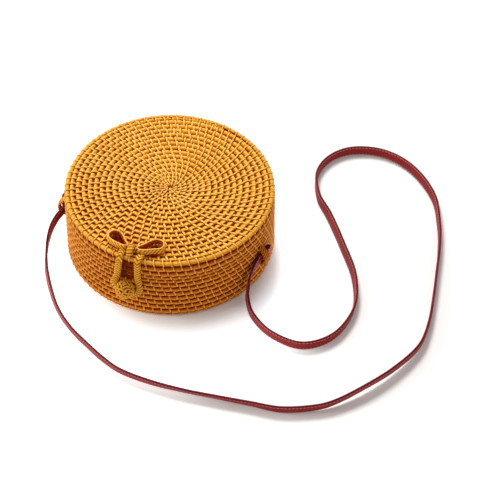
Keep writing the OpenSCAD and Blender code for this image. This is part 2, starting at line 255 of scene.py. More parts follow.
class Finish:
    """A material in the making. A socket is fed with a constant or with another node's output."""

    def __init__(self, name):
        self.material = bpy.data.materials.new(name)
        self.material.use_nodes = True
        self.tree = self.material.node_tree
        self.shader = self.tree.nodes["Principled BSDF"]
        self.place = self.node("TexCoord", {}).outputs["Object"]

    def feed(self, node, sockets):
        for key, value in sockets.items():
            if isinstance(value, bpy.types.NodeSocket):
                self.tree.links.new(value, node.inputs[key])
            else:
                node.inputs[key].default_value = value
        return node

    def node(self, kind, sockets):
        return self.feed(self.tree.nodes.new("ShaderNode" + kind), sockets)

    def maths(self, operation, a, b, clamped=False):
        node = self.node("Math", {0: a, 1: b})
        node.operation, node.use_clamp = operation, clamped
        return node.outputs[0]

    def noted(self, name):
        """What the mesh notes for each vertex: its shade, or its lay."""
        node = self.node("Attribute", {})
        node.attribute_name = name
        return node.outputs

    def lay(self):
        """How far along the strip, how far across and how much painted shade, as X, Y and Z."""
        return self.node("SeparateXYZ", {0: self.noted("lay")["Vector"]}).outputs

    def noise(self, scale, detail=2.0, at=None):
        at = self.place if at is None else at
        node = self.node("TexNoise", {"Vector": at, "Scale": scale, "Detail": detail})
        return node.outputs["Fac"]

    def cells(self, scale):
        return self.node("TexVoronoi", {"Vector": self.place, "Scale": scale}).outputs["Distance"]

    def mix(self, a, b, factor):
        """A colour between a and b, each of them three numbers or an output."""
        node = self.node("Mix", {})
        node.data_type = "RGBA"
        a, b = [(*colour, 1) if isinstance(colour, tuple) else colour for colour in (a, b)]
        return self.feed(node, {"A": a, "B": b, "Factor": factor}).outputs["Result"]

    def fade(self, middle, near, far, inner, outer):
        """Goes smoothly from inner to outer between two distances from a point."""
        away = self.node("VectorMath", {0: self.place, 1: middle})
        away.operation = "DISTANCE"
        ramp = self.node("MapRange", {"Value": away.outputs["Value"], "From Min": near,
                                      "From Max": far, "To Min": inner, "To Max": outer})
        ramp.interpolation_type = "SMOOTHSTEP"
        return ramp.outputs["Result"]

    def surface(self, colour, roughness, gloss, height, strength, depth):
        """Ends the net in the shader, with a fine relief of the given depth in metres."""
        bump = self.node("Bump", {"Strength": strength, "Distance": depth, "Height": height})
        self.feed(self.shader, {"Base Color": colour, "Roughness": roughness,
                                "Specular IOR Level": gloss, "Normal": bump.outputs["Normal"]})
        return self.material


# %% [markdown]
# ## Cane that looks like cane
#
# Split cane is a glossy bark with fine fibres along it. Every piece carries
# two attributes: shade, a random tone for each strip, and lay, which holds
# how far a point is along its strip, how far across, and how much shade is
# painted on it deep in the weave (below zero, how much highlight is painted
# on a lip). The material stretches a noise along the strip for the fibres,
# paints the shade into the colour in the depths, where it also goes dull,
# and paints a highlight on the lips.


# %% Cane materials
FIBRE_ALONG, FIBRE_ACROSS, FIBRE_APART = 0.22, 3.4, 53.0
DRIFT_SCALE = 38.0


def cane(name, light, dark, deep, lip, roughness=0.45, gloss=0.1):
    finish = Finish(name)
    lay, shade = finish.lay(), finish.noted("shade")["Fac"]
    fibre_at = finish.node("CombineXYZ", {
        0: finish.maths("MULTIPLY", lay["X"], FIBRE_ALONG),
        1: finish.maths("MULTIPLY", lay["Y"], FIBRE_ACROSS),
        2: finish.maths("MULTIPLY", shade, FIBRE_APART)})
    fibre = finish.noise(1.0, 3.0, fibre_at.outputs[0])
    lightness = finish.maths("MULTIPLY", fibre, 0.55)
    for part in (shade, finish.noise(DRIFT_SCALE)):
        lightness = finish.maths("ADD", lightness, finish.maths("MULTIPLY", part, 0.5))
    colour = finish.mix(dark, light, finish.maths("SUBTRACT", lightness, 0.3, clamped=True))
    # Deep in the weave the colour takes painted shade, and below zero, on the lips, a painted highlight
    colour = finish.mix(colour, deep, lay["Z"])
    colour = finish.mix(colour, lip, finish.maths("MULTIPLY", lay["Z"], -1.0))
    shine = finish.maths("SUBTRACT", 1.0, lay["Z"], clamped=True)
    return finish.surface(colour, roughness, finish.maths("MULTIPLY", shine, gloss), fibre,
                          0.35, 0.0002)


# Each has a light and a dark tone, the painted shade of its depths and the painted highlight of its lips
pad_cane = cane("pad_cane", (0.84, 0.44, 0.032), (0.64, 0.24, 0.005),
                (0.36, 0.03, 0.001), (0.92, 0.58, 0.11))
strand_cane = cane("strand_cane", (0.9, 0.49, 0.1), (0.74, 0.3, 0.03),
                   (0.36, 0.03, 0.0), (0.97, 0.63, 0.18))
# The wall's cane is the disc's cane painted darker, as painted shade for the shaded wall; the rim coils and
# the base's edge use it too
shaded_wall_cane = cane("shaded_wall_cane", (0.62, 0.205, 0.008), (0.46, 0.107, 0.002),
                 (0.15, 0.014, 0.001), (0.8, 0.29, 0.035), 0.5, 0.08)
shaded_wall_strand_cane = cane("shaded_wall_strand_cane", (0.82, 0.37, 0.055), (0.68, 0.24, 0.02),
                        (0.24, 0.015, 0.0), (0.95, 0.5, 0.12), 0.5, 0.08)
edge_cane = cane("edge_cane", (0.74, 0.32, 0.016), (0.56, 0.19, 0.004),
                 (0.24, 0.018, 0.0), (0.87, 0.48, 0.07))
coil_cane = cane("coil_cane", (0.86, 0.48, 0.06), (0.7, 0.3, 0.02),
                 (0.4, 0.09, 0.004), (0.95, 0.6, 0.12), gloss=0.15)
loop_cane = cane("loop_cane", (0.9, 0.5, 0.05), (0.72, 0.3, 0.015),
                 (0.2, 0.015, 0.0), (0.95, 0.6, 0.12))
bow_cane = cane("bow_cane", (0.97, 0.53, 0.06), (0.82, 0.34, 0.015),
                (0.38, 0.03, 0.0), (1.0, 0.66, 0.15))
# A darker copy of the loop's cane, as painted shade for the right side loop and the core under the knot
shaded_cane = cane("shaded_cane", (0.78, 0.28, 0.008), (0.54, 0.14, 0.002),
                  (0.12, 0.008, 0.0), (0.8, 0.34, 0.02), gloss=0.08)
# Painted shade for the grooves and gaps, which lie in shadow
shaded_groove_cane = cane("shaded_groove_cane", (0.3, 0.028, 0.001), (0.18, 0.012, 0.0),
                   (0.1, 0.004, 0.0), (0.3, 0.03, 0.002), 0.8, 0.0)
ball_cane = cane("ball_cane", (0.84, 0.44, 0.04), (0.56, 0.215, 0.008),
                 (0.2, 0.035, 0.001), (0.82, 0.48, 0.08))
print("cane in", len([m for m in bpy.data.materials if "cane" in m.name]), "finishes")

# %% [markdown]
# ## The floor and the light
#
# The background is a clean white, and the shadows fall softly to the lower
# right. So one large lamp hangs behind and to the left, a second one with a
# faint green in it fills from the left, and a weak warm one at the front right
# lightens the shaded wall. In the photograph the floor stays nearly white where
# the bag's soft shadow should lie, with only a narrow dark ring along the wall.
# So the floor glows a little round the bag, slightly cool. At the front right
# the glow stops just before the wall, and elsewhere it reaches the wall.

# %% The floor
GLOW_AT, GLOW_INNER, GLOW_OUTER, GLOW = mm(25, -35, 0), 0.125, 0.175, 0.72
DARK_AT, DARK_INNER, DARK_OUTER = mm(22.5, -20, 0), 0.073, 0.106
white = Finish("floor_white")
glow = white.maths("MULTIPLY", white.fade(GLOW_AT, GLOW_INNER, GLOW_OUTER, GLOW, 0.0),
                   white.fade(DARK_AT, DARK_INNER, DARK_OUTER, 0.0, 1.0))
white.feed(white.shader, {"Base Color": (0.93, 0.93, 0.94, 1), "Roughness": 0.8,
                          "Specular IOR Level": 0.1, "Emission Color": (0.9, 0.96, 1.0, 1),
                          "Emission Strength": glow})
bm = new_bmesh()
bmesh.ops.create_grid(bm, x_segments=1, y_segments=1, size=6.0)
floor = make_piece(bm, "floor", [white.material], smooth=False)

# %% The lamps
world = bpy.data.worlds.new("studio")
bpy.context.scene.world = world
world.use_nodes = True
world.node_tree.nodes["Background"].inputs["Color"].default_value = (1.0, 1.0, 1.0, 1)
world.node_tree.nodes["Background"].inputs["Strength"].default_value = 0.42


def lamp(name, place, size, power, colour):
    """A square lamp of the given size in metres and power in watts, aimed at the bag."""
    data = bpy.data.lights.new(name, "AREA")
    data.size = size
    data.energy = power
    data.color = colour
    thing = bpy.data.objects.new(name, data)
    bpy.context.scene.collection.objects.link(thing)
    thing.location = place
    thing.rotation_mode = "QUATERNION"
    thing.rotation_quaternion = (-Vector(place)).to_track_quat("-Z", "Y")


lamp("key", (-0.6, 0.95, 1.6), 0.7, 36.0, (1.0, 0.98, 0.95))
lamp("fill", (-1.8, -0.9, 0.75), 1.0, 28.0, (0.97, 1.0, 0.9))
lamp("warm", (1.5, -1.1, 0.6), 0.8, 5.0, (1.0, 0.8, 0.66))
bpy.context.scene.view_settings.view_transform = "Standard"
print(len(bpy.data.lights), "lamps")

# %% [markdown]
# ## The strap
#
# A narrow leather strap stands on its edge on the floor, as a flat strap
# does when it curves. It leaves the left loop, drops to the floor, wanders
# round and climbs back to the right loop. Its middle line is the same route
# that the solid follows, so it is written out again here, with a lean for
# each point, and the leather is extruded along it.

# %% The strap's route
LOOP_Z = 34.0
LEFT_ANGLE = radians(-75 - 90)
RIGHT_ANGLE = radians(80 - 90)
STRAP_R = 102.9
STRAP_THROUGH = 4.9
STRAP_STEP = 3.4


def in_loop(angle, along):
    """A point of the route inside a side loop."""
    return (STRAP_R * cos(angle) - along * sin(angle),
            STRAP_R * sin(angle) + along * cos(angle), LOOP_Z, 0.0)


# Each point is x, y, z and the lean in degrees
floor_route = [
    (-101, -42, 31, 0), (-103, -53, 23, 0), (-101, -67, 13, 4), (-93, -86, 6.5, 8),
    (-77, -110, 5.3, 5), (-60, -130, 5.3, -4), (-40, -146, 5.3, -9),
    (-19, -158, 5.3, -9), (3, -169, 5.3, -10), (24, -176, 5.3, -16),
    (54, -178, 5.3, -19), (86, -176, 5.3, -27), (117, -172, 5.3, -27),
    (147, -168, 5.3, -22), (177, -164, 5.3, -12), (205, -151, 5.8, -13),
    (221, -138, 7, -16), (240, -113, 8.5, -17), (257, -83, 7.5, -13),
    (269, -49, 6, -10), (269, -19, 5.3, -4), (263, 14, 5.3, 0), (255, 48, 5.3, 0),
    (248, 76, 5.3, -4), (238, 106, 5.3, -8), (220, 142, 5.3, -13),
    (189, 170, 5.3, -15), (156, 181, 5.3, -8), (125, 174, 5.3, -3),
    (107, 155, 5.3, 0), (103, 129, 5.3, -2), (115, 101, 5.3, 10),
    (134, 80, 5.3, 20), (160, 47, 5.3, 20), (184, 13, 5.3, 18), (197, -25, 5.3, 10),
    (191, -63, 5.3, 4), (168, -85, 5.3, 0), (137, -83, 5.3, 0), (113, -69, 5.3, -3),
    (101, -54, 8, -8), (98, -45, 17, -16), (98, -38, 27, -14)]
route = [in_loop(LEFT_ANGLE, -STRAP_THROUGH), in_loop(LEFT_ANGLE, STRAP_THROUGH),
         *floor_route,
         in_loop(RIGHT_ANGLE, -STRAP_THROUGH), in_loop(RIGHT_ANGLE, STRAP_THROUGH)]
strap_line = even_line(route, STRAP_STEP)
strap_length = MM * sum(math.dist(p[:3], q[:3]) for p, q in zip(strap_line, strap_line[1:]))
print("strap is", round(strap_length, 3), "m long, in", len(strap_line), "rings")


# %% Which way the strap's width points
def strap_frames(line):
    """For each point: its place, the width's direction and the face's direction."""
    frames = []
    for i, point in enumerate(line):
        before, after = line[max(i - 1, 0)], line[min(i + 1, len(line) - 1)]
        ahead = Vector([q - p for p, q in zip(before[:3], after[:3])]).normalized()
        left = UP.cross(ahead).normalized()
        rise = ahead.cross(left)
        lean = radians(point[3])
        wide = rise * cos(lean) + left * sin(lean)
        frames.append((mm(*point[:3]), wide, ahead.cross(wide)))
    return frames


frames = strap_frames(strap_line)
print("the strap leans by up to", max(abs(p[3]) for p in floor_route), "degrees")


# %% Oxblood leather
def leather(name, face, rub, edge):
    finish = Finish(name)
    worn = finish.mix(face, rub, finish.noise(60.0, 4.0))
    painted = finish.mix(worn, edge, finish.lay()["Z"])
    return finish.surface(painted, 0.5, 0.12, finish.cells(900.0), 0.25, 0.0003)


strap_leather = leather("strap_leather", (0.21, 0.01, 0.012), (0.29, 0.018, 0.018),
                        (0.12, 0.005, 0.01))
thread = leather("thread", (0.56, 0.19, 0.18), (0.66, 0.26, 0.24), (0.56, 0.19, 0.18))
print("leather ready")

# %% The strap's leather
# Half of the outline, as (across, out, how much of the dark edge paint)
half_outline = [(-5.0, 0.55, 1.0), (-4.75, 0.95, 1.0), (-4.2, 1.12, 0.35), (-3.85, 1.0, 0.0),
                (-3.5, 1.14, 0.0), (0.0, 1.2, 0.0), (3.5, 1.14, 0.0), (3.85, 1.0, 0.0),
                (4.2, 1.12, 0.35), (4.75, 0.95, 1.0), (5.0, 0.55, 1.0)]
strap_outline = half_outline + [(-a, -b, c) for a, b, c in half_outline]


def strap_piece(name, centres, wide, step, wider=1.0, thicker=1.0):
    """Sweeps the strap's outline along a line whose points are a step apart."""
    bm = new_bmesh()
    sweep(bm, centres, wide,
          lambda i: [(a * wider * MM, b * thicker * MM, 0) for a, b, _ in strap_outline],
          lambda i, k: (i * step, strap_outline[k][0], strap_outline[k][2]))
    return make_piece(bm, name, [strap_leather], outward=True)


strap = strap_piece("strap_band", [f[0] for f in frames], [f[1] for f in frames], STRAP_STEP)
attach(strap, "body")
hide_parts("strap")


# %% Notes on the surface for the materials
def keep_notes(piece, lays, shades=()):
    """Keeps (along, across, painted shade) for each vertex, in mm and a share, and its tone."""
    layers = piece.data.attributes
    lay = layers.get("lay") or layers.new("lay", "FLOAT_VECTOR", "POINT")
    lay.data.foreach_set("vector", [c for note in lays for c in note])
    if shades:
        shade = layers.get("shade") or layers.new("shade", "FLOAT", "POINT")
        shade.data.foreach_set("value", shades)


# %% [markdown]
# ### Its stitching
#
# A row of thread runs close to each edge of the strap. One small stitch is
# made from a box with its edges bevelled, and copies of it are laid in the
# grooves on both faces.


# %% One stitch of thread
def copies_of(template, places, name, materials):
    """Joins copies of a mesh. Each place is a matrix and a shade."""
    bm = new_bmesh()
    shades = []
    for matrix, value in places:
        mesh = template.copy()
        mesh.transform(matrix)
        bm.from_mesh(mesh)
        shades += [value] * len(mesh.vertices)
        bpy.data.meshes.remove(mesh)
    piece = make_piece(bm, name, materials)
    keep_notes(piece, [(v.co.x / MM, v.co.z / MM, 0) for v in piece.data.vertices], shades)
    return piece


STITCH_BOX = mm(2.3, 0.75, 0.42)
STITCH_BEVEL = 0.12
STITCH_ROW = 3.85
STITCH_OUT = 1.08
bm = bmesh.new()
bmesh.ops.create_cube(bm, size=1.0)
bmesh.ops.scale(bm, vec=STITCH_BOX, verts=bm.verts)
bmesh.ops.bevel(bm, geom=bm.edges[:], offset=STITCH_BEVEL * MM, offset_type="OFFSET",
                segments=1, affect="EDGES", profile=0.5, material=-1)
stitch = as_mesh(bm, "stitch")
stitch_places = []
for i in range(3, len(frames) - 3):
    centre, wide, face = frames[i]
    ahead = wide.cross(face)
    for side in (-1, 1):
        for row in (-1, 1):
            spot = centre + wide * (row * STITCH_ROW * MM) + face * (side * STITCH_OUT * MM)
            stitch_places.append((placed(spot, ahead, wide * side, face * side), chance.random()))
stitching = copies_of(stitch, stitch_places, "strap_stitching", [thread])
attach(stitching, "body")
print(len(stitch_places), "stitches")

# %% [markdown]
# ## The basket under the weave
#
# Seen between the stitches, the inner side of the weave lies in shade. So
# each half starts as a plain cup, spun from its outline and a little smaller
# than the real surface, coloured dark as painted shade for the grooves. The
# visible coils and strands are laid on it afterwards.


# %% Spinning an outline round the bag's axis
def spin_outline(bm, outline, steps, closed=False):
    """Spins (radius, height) points, in mm, once round the Z axis."""
    verts = [bm.verts.new(mm(r, 0, z)) for r, z in outline]
    edges = [bm.edges.new((verts[k], verts[k + 1])) for k in range(len(verts) - 1)]
    if closed:
        edges.append(bm.edges.new((verts[-1], verts[0])))
    bmesh.ops.spin(bm, geom=verts + edges, cent=(0, 0, 0), axis=(0, 0, 1), steps=steps,
                   angle=2 * pi, use_merge=True)
    bmesh.ops.remove_doubles(bm, verts=bm.verts, dist=1e-6)


def turn_over(bm):
    """Makes the lid's half of a cup that was built for the base."""
    bmesh.ops.scale(bm, vec=(1, 1, -1), verts=bm.verts)
    bmesh.ops.translate(bm, vec=mm(0, 0, BAG_H), verts=bm.verts)


GROOVE = 1.5
MOUTH_GAP = 0.6


def basket(name, height, node, body):
    bm = new_bmesh()
    r_out, r_in, mouth = BAG_R - GROOVE, BAG_R - WALL_T, height - MOUTH_GAP
    spin_outline(bm, [(0, GROOVE), (DISC_R, GROOVE), (r_out, EDGE_R), (r_out, mouth),
                      (r_in, mouth), (r_in, WALL_T), (0, WALL_T)], 144)
    if body == "lid":
        turn_over(bm)
    piece = make_piece(bm, name, [shaded_groove_cane], smooth=False, outward=True)
    keep_notes(piece, [(v.co.x / MM, v.co.z / MM, 0) for v in piece.data.vertices])
    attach(piece, body)
    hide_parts(node)


basket("body_basket", BODY_H, "body_shell", "body")
basket("lid_basket", BAG_H - LID_Z, "lid_shell", "lid")

# %% [markdown]
# ## One stitch of the weave
#
# The weave repeats one small pattern some two thousand times: a plump pad of
# the coil, and a narrow strand that comes out from under the row above,
# crosses the coil and goes in below it. A pad fills the lower part of its row
# and rises to a lip at the lower edge, with a painted highlight. Over it a
# slot in painted shade is left open, which only the strands cross. Pads and
# strands start as small grids. Their templates are kept in a flat space, where
# u runs along the row, v across the rows and w is the height over the coil's
# surface. The last number says how much shade is painted on a point deep in
# the weave, and below zero how much highlight is painted on the lip.

# %% Templates of pads and strands
# Along a stitch: v, height and painted shade. Across it: a share of its width, and how far it falls
WALL_PAD_V = [(1.2, -1.6, 1.0), (0.95, -1.05, 1.0), (0.55, -0.65, 0.7), (-0.2, -0.52, 0.4),
              (-0.9, -0.42, 0.1), (-1.5, 0.0, -0.7), (-2.1, 0.25, -1.0), (-2.6, -0.05, -0.2),
              (-2.93, -1.6, 1.0)]
WALL_PAD_U = [(-1.0, -1.2), (-0.84, -0.6), (-0.5, -0.1), (0.0, 0.12), (0.5, 0.0),
              (0.84, -0.5), (1.0, -1.1)]
WALL_STRAND_V = [(2.7, -1.4, 1.0), (2.3, -0.95, 0.75), (1.7, -0.45, 0.25), (0.9, -0.05, -0.1),
                 (-0.3, 0.2, -0.3), (-1.2, 0.3, -0.3), (-1.9, 0.28, 0.0), (-2.5, 0.0, 0.5),
                 (-2.95, -0.9, 1.0)]
DISC_PAD_V = [(1.5, -1.65, 1.0), (1.15, -1.35, 0.95), (0.6, -0.8, 0.5), (-0.2, -0.25, 0.1),
              (-1.2, 0.12, -0.3), (-2.0, 0.2, -0.8), (-2.6, 0.0, -0.4), (-2.88, -0.6, 0.5),
              (-2.95, -1.6, 1.0)]
DISC_PAD_U = [(-1.0, -1.4), (-0.82, -0.8), (-0.5, -0.25), (0.0, 0.2), (0.48, 0.0),
              (0.82, -0.6), (1.0, -1.3)]
DISC_STRAND_V = [(3.9, -1.3, 1.0), (3.4, -0.6, 0.5), (2.7, -0.05, 0.0), (1.7, 0.35, -0.3),
                 (0.3, 0.65, -0.5), (-1.1, 0.85, -0.6), (-2.2, 0.85, -0.5), (-2.9, 0.5, -0.1),
                 (-3.4, -0.2, 0.5), (-3.8, -1.2, 1.0)]
STRAND_U = [(-0.8, -0.9), (-0.42, 0.0), (0.42, 0.0), (0.8, -0.9)]
EDGE_PAD_V = [(4.6, -0.6, 1.0), (4.0, 0.1, 0.7), (3.2, 0.2, 0.2), (2.4, 0.15, -0.2),
              (1.2, 0.1, -0.5), (0.0, 0.15, -0.3), (-1.2, 0.0, 0.1), (-2.2, -0.35, 0.5),
              (-3.0, -1.2, 1.0)]
EDGE_PAD_U = [(-1.0, -1.2), (-0.86, -0.6), (-0.5, -0.1), (0.5, 0.0), (0.86, -0.5), (1.0, -1.1)]
EDGE_STRAND_V = [(5.1, 2.1, 1.0), (4.7, 1.9, 0.6), (4.1, 1.4, 0.1), (3.2, 0.9, 0.0),
                 (1.5, 0.8, -0.2), (-0.4, 0.75, -0.2), (-2.0, 0.5, 0.0), (-3.0, 0.05, 0.5),
                 (-3.8, -0.8, 1.0)]


def stitch_kind(name, across, along):
    """A grid, and for each of its vertices the entries of its column and row."""
    bm = bmesh.new()
    columns, rows = len(across) - 1, len(along) - 1
    bmesh.ops.create_grid(bm, x_segments=columns, y_segments=rows, size=0.5)
    mesh = as_mesh(bm, name)
    # The grid's rows are counted from below, so the list along it is read from its end
    entries = [(across[round((v.co.x + 0.5) * columns)], along[-1 - round((v.co.y + 0.5) * rows)])
               for v in mesh.vertices]
    return mesh, entries


WALL_KINDS = (stitch_kind("wall_pad", WALL_PAD_U, WALL_PAD_V),
              stitch_kind("wall_strand", STRAND_U, WALL_STRAND_V))
DISC_KINDS = (stitch_kind("disc_pad", DISC_PAD_U, DISC_PAD_V),
              stitch_kind("disc_strand", STRAND_U, DISC_STRAND_V))
EDGE_KINDS = (stitch_kind("edge_pad", EDGE_PAD_U, EDGE_PAD_V),
              stitch_kind("edge_strand", STRAND_U, EDGE_STRAND_V))
for pad_kind, strand_kind in (WALL_KINDS, DISC_KINDS, EDGE_KINDS):
    print(pad_kind[0].name, len(pad_kind[0].polygons), "faces,", strand_kind[0].name,
          len(strand_kind[0].polygons), "faces")


# %% Laying stitches on a surface
STRIP_GAP = 0.3
# Shade is painted where a stitch falls away at its ends, and painted in full below UNSEEN
DEEPEST, UNSEEN = -1.7, -1.5
PAD_END_SHADE, STRAND_END_SHADE = -0.3, -0.5
BEND_V = 3.3


class Weave:
    """Collects pads and strands laid on one surface, then makes one piece of them.

    place turns (u, v, w) into a point. scale turns a length along the row, in
    mm, into a step of u at a distance v from the row's middle. The function for
    painted shade says how much shade is painted on a place at least. bend curves the strands like a long S."""

    def __init__(self, place, scale, kinds, bend=False, painted_shade=None):
        self.bm = bmesh.new()
        self.place, self.scale, self.bend, self.painted_shade = place, scale, bend, painted_shade
        self.pad_kind, self.strand_kind = kinds
        self.shades, self.lays = [], []

    def lay(self, mesh, points, shade, material):
        flat = []
        for u, v, w, *note in points:
            flat += self.place(u, v, w)
            if self.painted_shade:
                note[2] = max(note[2], self.painted_shade(u, v))
            self.lays.append(note)
        mesh.vertices.foreach_set("co", flat)
        mesh.polygons.foreach_set("material_index", [material] * len(mesh.polygons))
        mesh.update()
        self.bm.from_mesh(mesh)
        self.shades += [shade] * len(points)

    def pad(self, u, v0, width, squeeze, lean, top, shade, rise=0.0, taper=0.4):
        """top moves the pad's upper edge, by more to one side where taper says so."""
        mesh, entries = self.pad_kind
        points = []
        for (s, fall), (v, w, dark) in entries:
            if v > 0:
                v += top + taper * s
            along, dv = s * (width / 2 - STRIP_GAP), v * squeeze
            low = max(w + fall + rise, DEEPEST)
            dark = min(1.0, dark + max(0.0, PAD_END_SHADE - fall)) if low > UNSEEN else 1.0
            step = (along - lean * dv) * self.scale(v0 + dv)
            points.append((u + step, v0 + dv, low, along, v, dark))
        self.lay(mesh, points, shade, 0)

    def strand(self, u, v0, squeeze, lean, width, shade):
        mesh, entries = self.strand_kind
        points = []
        for (s, fall), (v, w, dark) in entries:
            slip = dv = v * squeeze
            if self.bend:
                slip = BEND_V * squeeze * sin(pi / 2 * clamp(v / BEND_V, -1.0))
            low = max(w + fall, DEEPEST)
            dark = min(1.0, dark + max(0.0, STRAND_END_SHADE - fall))
            step = (s * width - lean * slip) * self.scale(v0 + dv)
            points.append((u + step, v0 + dv, low, v, s, dark))
        self.lay(mesh, points, shade, 1)

    def finish(self, name, body, slot, materials):
        piece = make_piece(self.bm, name, materials)
        keep_notes(piece, self.lays, self.shades)
        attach(piece, body)


def on_wall(u, v, w):
    """u is the way round at full radius, v the height."""
    a, r = u / BAG_R, BAG_R + w
    return (r * cos(a) * MM, r * sin(a) * MM, v * MM)


# %% [markdown]
# ## The wall's rows
#
# Seventy-six stitches go round each row. Each row starts about three
# millimetres further round than the one above it, which draws the slanting
# steps down the wall. A little unevenness in the spacing keeps it handmade.
# Between the legs of the closure the wall lies in deep shade, and that shade is painted into the wall's
# colour there.

# %% Rows on the wall
WALL_STITCHES = 76
WALL_ROWS_LID, WALL_ROWS_BODY = 2, 7
ROW_SHIFT = 3.0
ROW_STEP = 6.03
TOP_ROW_Z = LID_Z + 17
TEMPLATE_ROW = 5.95
WALL_LEAN = 0.25
# How far a row, its stitches, their heights, the pads' tops and the strands' lean stray
ROW_OFF, STITCH_OFF, HEIGHT_OFF, TOP_OFF, LEAN_OFF = 0.5, 0.6, 0.12, 0.2, 0.07
FRONT = -pi / 2
WALL_STRAND_W = 0.85, 1.1
LID_TOP_CLOSED = 0.8
GAP_HALF, GAP_LOW, GAP_HIGH = 10.0, 42.0, 69.0
GAP_FADES = 2.5, 4.0, 2.0
GAP_DARK = 1.92


def shade_under_closure(u, v):
    """How much shade is painted on the wall between the closure's legs, where it lies in deep shade.
    Elsewhere -1 leaves it as it is.
    """
    around = abs((u / BAG_R - FRONT + pi) % (2 * pi) - pi) * BAG_R
    inside = 1.0
    for reach, fade in zip((GAP_HALF - around, v - GAP_LOW, GAP_HIGH - v), GAP_FADES):
        inside *= clamp(reach / fade)
    return GAP_DARK * inside - 1.0


def row_places(drift, jitter):
    """Where each stitch of a row begins and ends, as lengths round the wall."""
    pitch = 2 * pi * BAG_R / WALL_STITCHES
    at = [pitch * k + drift + about(jitter) for k in range(WALL_STITCHES)]
    at.append(at[0] + pitch * WALL_STITCHES)
    return zip(at, at[1:])


def wall_weave(name, tops, body):
    weave = Weave(on_wall, lambda v: 1.0, WALL_KINDS, painted_shade=shade_under_closure)
    for top, bottom in tops:
        closed_up = LID_TOP_CLOSED if top == BAG_H - RIM_H else 0.0
        middle, squeeze = (top + bottom) / 2, (top - bottom) / TEMPLATE_ROW
        drift = ROW_SHIFT * ((TOP_ROW_Z - middle) / ROW_STEP) + about(ROW_OFF)
        for a, b in row_places(drift, STITCH_OFF):
            v0 = middle + about(HEIGHT_OFF)
            weave.pad((a + b) / 2, v0, b - a, squeeze, WALL_LEAN,
                      closed_up + about(TOP_OFF), chance.random())
            weave.strand(a, v0, squeeze, WALL_LEAN + about(LEAN_OFF),
                         chance.uniform(*WALL_STRAND_W), chance.random())
    weave.finish(name, body, "coiled_cane", [shaded_wall_cane, shaded_wall_strand_cane])


def row_heights(top, bottom, rows):
    step = (top - bottom) / rows
    return [(top - step * i, top - step * (i + 1)) for i in range(rows)]


lid_rows = row_heights(BAG_H - RIM_H, LID_Z + RIM_H, WALL_ROWS_LID)
wall_weave("lid_wall_weave", lid_rows + [(LID_Z + RIM_H, LID_Z)], "lid")
body_rows = row_heights(BODY_H - RIM_H, RIM_H, WALL_ROWS_BODY)
wall_weave("body_wall_weave", [(BODY_H, BODY_H - RIM_H)] + body_rows, "body")

# %% [markdown]
# ## The spiral disc
#
# The lid and the base are one coil each, wound in a spiral from the middle.
# Every stitch goes in beside the stitch of the turn before, a little further
# round, so the strands line up in long curved arms. Where the arms have
# spread too far apart, a new stitch goes in between them. The loop below
# works in the same way: each stitch makes the next turn's. The coil runs out
# at the back, and the last rows share the width that is left over there.

# %% The coil's line, and the places of its stitches
DISC_SHIFT = 3.2
DISC_LEAN = 0.17
DISC_STRAND_W = 1.0, 1.25
MIDDLE_R = 2.5
FINE_R = 24.0
FINE_SHARE = 0.55
FIRST_TURN = -0.74
LAST_ROWS = 4
EXTRA_TURN = 0.62
STITCH_NEAR, STITCH_GROWS, STITCH_MOST = 2.6, 0.105, 7.3
SHIFT_SHARE = 0.43
TIGHT, ROOMY = 0.4, 0.9
START_STEP, START_STITCHES = 0.7, 9
COIL_TURN = radians(100)
BASE_LIFT = 0.9


def coil_radius(p):
    """Middle radius and width share of the coil at an angle along it.

    The coil is finer near the middle, and its last rows fill up what is left."""
    turns = p / (2 * pi)
    r, share = DISC_PITCH * turns, 1.0
    if r < FINE_R:
        reach = FINE_SHARE * FINE_R / (1 - FINE_SHARE)
        grow = math.exp((1 - FINE_SHARE) * DISC_PITCH / FINE_R * (turns - FINE_R / DISC_PITCH))
        r = (FINE_R + reach) * grow - reach
        share = FINE_SHARE + (1 - FINE_SHARE) * r / FINE_R
    from_edge = (DISC_R - r) / DISC_PITCH + 0.5
    if from_edge > LAST_ROWS + 1:
        return r, share
    row, left_over = max(math.floor(from_edge), 0), max(from_edge, 0.0) % 1
    part = clamp((left_over - 0.3) / 0.4)
    part *= part * (3 - 2 * part)
    width = (LAST_ROWS + left_over) / (LAST_ROWS + part)
    if row == 0:
        return DISC_R - part * width * DISC_PITCH / 2, part * width
    return DISC_R - (part + row - 0.5) * width * DISC_PITCH, width


def spiral_places():
    """Angles along the coil, which winds clockwise and outwards, from the middle to the edge."""
    end = 2 * pi * (DISC_ROWS + EXTRA_TURN)
    places = [2 * pi * FIRST_TURN + START_STEP * k for k in range(START_STITCHES)]
    start, owed = 0, 0.0
    while places[-1] < end:
        parents, start = places[start:], len(places)
        for parent in parents:
            r = max(coil_radius(parent + 2 * pi)[0], 2.0)
            aim = min(STITCH_MOST, STITCH_NEAR + STITCH_GROWS * r)
            child = parent + 2 * pi - min(DISC_SHIFT, SHIFT_SHARE * aim) / r
            gap = (child - places[-1]) * r
            if gap < TIGHT * aim:
                continue
            owed += gap / aim - 1
            if owed > 0.5 and gap > ROOMY * aim:
                places.append((places[-1] + child) / 2)
                owed -= 1
            places.append(child)
        # Each turn is evened out, so that a new stitch doesn't crowd its neighbours
        for _ in range(3):
            for i in range(start, len(places) - 1):
                places[i] = 0.25 * places[i - 1] + 0.5 * places[i] + 0.25 * places[i + 1]
    return [p for p in places if p < end]


spiral = spiral_places()
for turn in (1, 3, 6, 9, 12, 15):
    inside = [p for p in spiral if turn * 2 * pi <= p < (turn + 1) * 2 * pi]
    print("turn", turn, "has", len(inside), "stitches")


